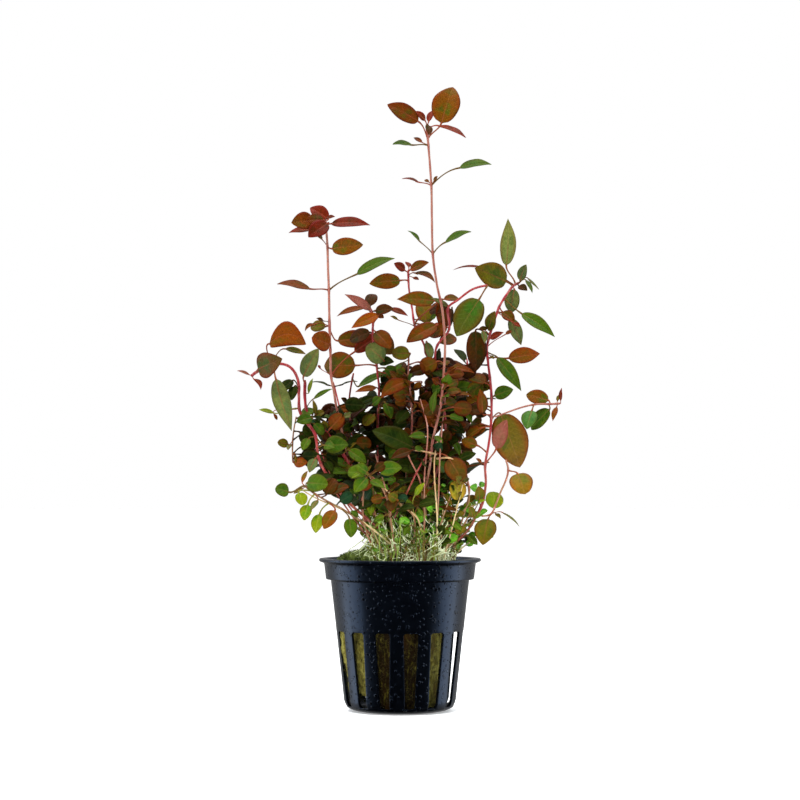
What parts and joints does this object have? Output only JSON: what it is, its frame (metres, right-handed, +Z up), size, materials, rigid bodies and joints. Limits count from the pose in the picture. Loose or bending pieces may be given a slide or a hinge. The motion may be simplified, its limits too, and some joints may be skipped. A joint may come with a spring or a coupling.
{
  "type": "potted aquarium plant",
  "caption": "Potted aquarium plant: slender red stems with pointed rust, bronze and green leaves rise from a mossy rockwool plug in a slotted net pot.",
  "frame": {"origin": "centre of the pot's flat underside", "axes": "+Z up along the pot's axis, -Y towards the viewer of the picture, +X to the right in the picture"},
  "size_m": [0.1097, 0.0733, 0.2137],
  "materials": {
    "black_plastic": "satin moulded plastic, black",
    "rockwool": "coarse fibrous wool, olive brown, mossy on top",
    "pink_stem": "smooth fleshy skin, salmon pink",
    "red_stem": "smooth fleshy skin, saturated red",
    "pale_stem": "smooth fleshy skin, beige",
    "rust_leaf": "soft satin leaf, rust red",
    "crimson_leaf": "soft satin leaf, dark crimson",
    "umber_leaf": "soft satin leaf, deep brown",
    "orange_leaf": "soft satin leaf, orange brown",
    "bronze_leaf": "soft satin leaf, bronze",
    "olive_leaf": "soft satin leaf, olive",
    "grey_leaf": "soft satin leaf, grey green",
    "green_leaf": "soft satin leaf, fresh green",
    "dark_leaf": "soft satin leaf, dark green",
    "pink_leaf": "soft satin leaf underside, pink"
  },
  "bodies": {
    "root": {"net_pot": "black_plastic", "rockwool_plug": "rockwool", "stem_tall": "pink_stem", "stem_left_tall": "pink_stem", "stem_middle": "red_stem", "stem_middle_left": "red_stem", "stem_short_pink": "pink_stem", "stem_short_left": "red_stem", "stem_red_arch": "red_stem", "stem_right": "red_stem", "branch_low_right": "pink_stem", "branch_far_right": "pink_stem", "stem_left_arch": "red_stem", "stem_left_red": "red_stem", "shoot_hanging_left": "pale_stem", "stem_left_pale": "pale_stem", "stem_short_front": "pink_stem", "stem_slanting": "pale_stem", "stem_short_right": "pale_stem", "stem_back_left": "red_stem", "stem_back_centre": "red_stem", "stem_back_right": "red_stem", "leaf_top_right": "bronze_leaf", "leaf_top_left": "rust_leaf", "leaf_top_falling": "crimson_leaf", "leaf_high_right": "green_leaf", "leaf_dark_centre": "dark_leaf", "leaf_low_bronze": "bronze_leaf", "leaf_left_top_round": "rust_leaf", "leaf_left_top_red": "crimson_leaf", "leaf_left_oval": "bronze_leaf", "leaf_left_wing": "rust_leaf", "leaf_left_wing_right": "green_leaf", "leaf_brown_broad": "rust_leaf", "leaf_purple_long": "crimson_leaf", "leaf_middle_oval": "bronze_leaf", "leaf_middle_broad": "bronze_leaf", "leaf_middle_pointed": "rust_leaf", "leaf_orange_centre": "orange_leaf", "leaf_bronze_round": "bronze_leaf", "leaf_arch_green": "dark_leaf", "leaf_upright_green": "green_leaf", "leaf_olive_big": "olive_leaf", "leaf_right_pointed": "green_leaf", "leaf_umber_hanging": "umber_leaf", "leaf_right_oval": "orange_leaf", "leaf_right_slant": "green_leaf", "leaf_red_edged": "olive_leaf", "leaf_pink_under": "pink_leaf", "leaf_low_right_round": "orange_leaf", "leaf_low_right_olive": "olive_leaf", "leaf_far_bronze": "bronze_leaf", "leaf_far_heart_left": "grey_leaf", "leaf_dome": "orange_leaf", "leaf_left_round": "olive_leaf", "leaf_left_long": "grey_leaf", "leaf_low_left_round": "green_leaf"}
  },
  "joints": []
}
